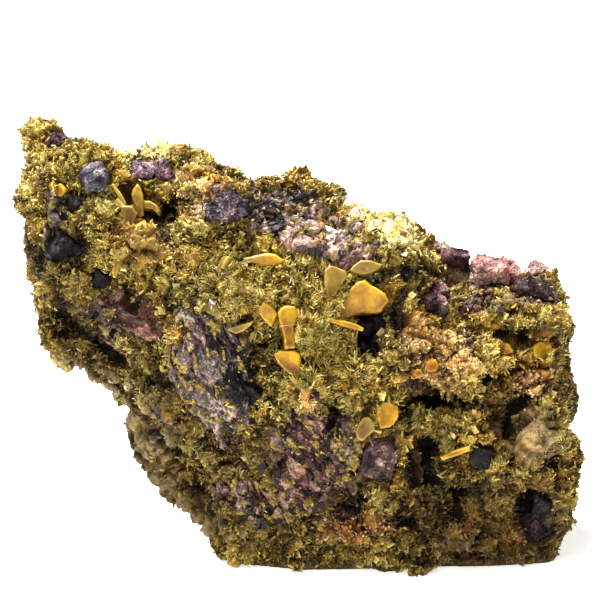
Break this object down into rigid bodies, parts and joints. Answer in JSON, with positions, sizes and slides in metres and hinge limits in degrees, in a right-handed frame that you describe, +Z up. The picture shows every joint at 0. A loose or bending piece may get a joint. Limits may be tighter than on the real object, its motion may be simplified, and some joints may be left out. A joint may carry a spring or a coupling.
{
  "type": "wulfenite specimen",
  "caption": "Hand specimen of orange-yellow wulfenite plates with needle mats of mimetite and violet fluorite on broken rock, resting on a flat cut.",
  "frame": {"origin": "in the plane of the flat cut, under the middle of the specimen's box", "axes": "+Z up, +X along the longest side, -Y towards the crystal-covered front"},
  "size_m": [0.0686, 0.04, 0.0528],
  "materials": {
    "rock": "matte",
    "wulfenite": "satin",
    "pale_wulfenite": "satin",
    "coated_wulfenite": "matte",
    "fluorite": "gloss",
    "pink_fluorite": "gloss",
    "dark_fluorite": "gloss",
    "mimetite": "matte"
  },
  "bodies": {
    "root": {"matrix": "rock", "wulfenite_spindle": "wulfenite", "wulfenite_kite": "wulfenite", "wulfenite_tall_blade": "wulfenite", "wulfenite_low_diamond": "wulfenite", "wulfenite_edge_blade": "wulfenite", "wulfenite_largest_plate": "wulfenite", "wulfenite_octagon": "wulfenite", "wulfenite_small_plate": "wulfenite", "wulfenite_smallest_plate": "wulfenite", "wulfenite_leaning_blade": "wulfenite", "wulfenite_crest_patch": "wulfenite", "wulfenite_low_right_blade": "wulfenite", "wulfenite_left_edge": "wulfenite", "wulfenite_ledge_plate": "wulfenite", "wulfenite_right_edge": "wulfenite", "wulfenite_left_blade": "pale_wulfenite", "wulfenite_pale_round": "pale_wulfenite", "wulfenite_sliver": "pale_wulfenite", "wulfenite_coated_plate": "coated_wulfenite", "wulfenite_upper_plate": "coated_wulfenite", "wulfenite_sheaf": "wulfenite", "fluorite_octagon": "dark_fluorite", "fluorite_black_left": "dark_fluorite", "fluorite_dark_left": "dark_fluorite", "fluorite_teal": "dark_fluorite", "fluorite_blue": "dark_fluorite", "fluorite_under_plate": "dark_fluorite", "fluorite_beside_diamond": "dark_fluorite", "fluorite_low_group": "dark_fluorite", "fluorite_small_cube": "dark_fluorite", "fluorite_dark_slot": "dark_fluorite", "fluorite_right_triangle": "dark_fluorite", "fluorite_low_right": "dark_fluorite", "fluorite_low_left": "dark_fluorite", "fluorite_crest_left": "pink_fluorite", "fluorite_top_left": "pink_fluorite", "fluorite_column": "pink_fluorite", "fluorite_back_right": "pink_fluorite", "fluorite_far_right": "pink_fluorite", "fluorite_valley": "pink_fluorite", "fluorite_pink_face": "fluorite", "fluorite_streaked_mass": "fluorite", "fluorite_crest_band": "fluorite", "fluorite_low_mass": "fluorite", "mimetite_bush": "mimetite", "mimetite_left_mat": "mimetite", "mimetite_ridge_tuft": "mimetite", "mimetite_low_bush": "mimetite", "mimetite_upper_tuft": "mimetite"}
  },
  "joints": []
}
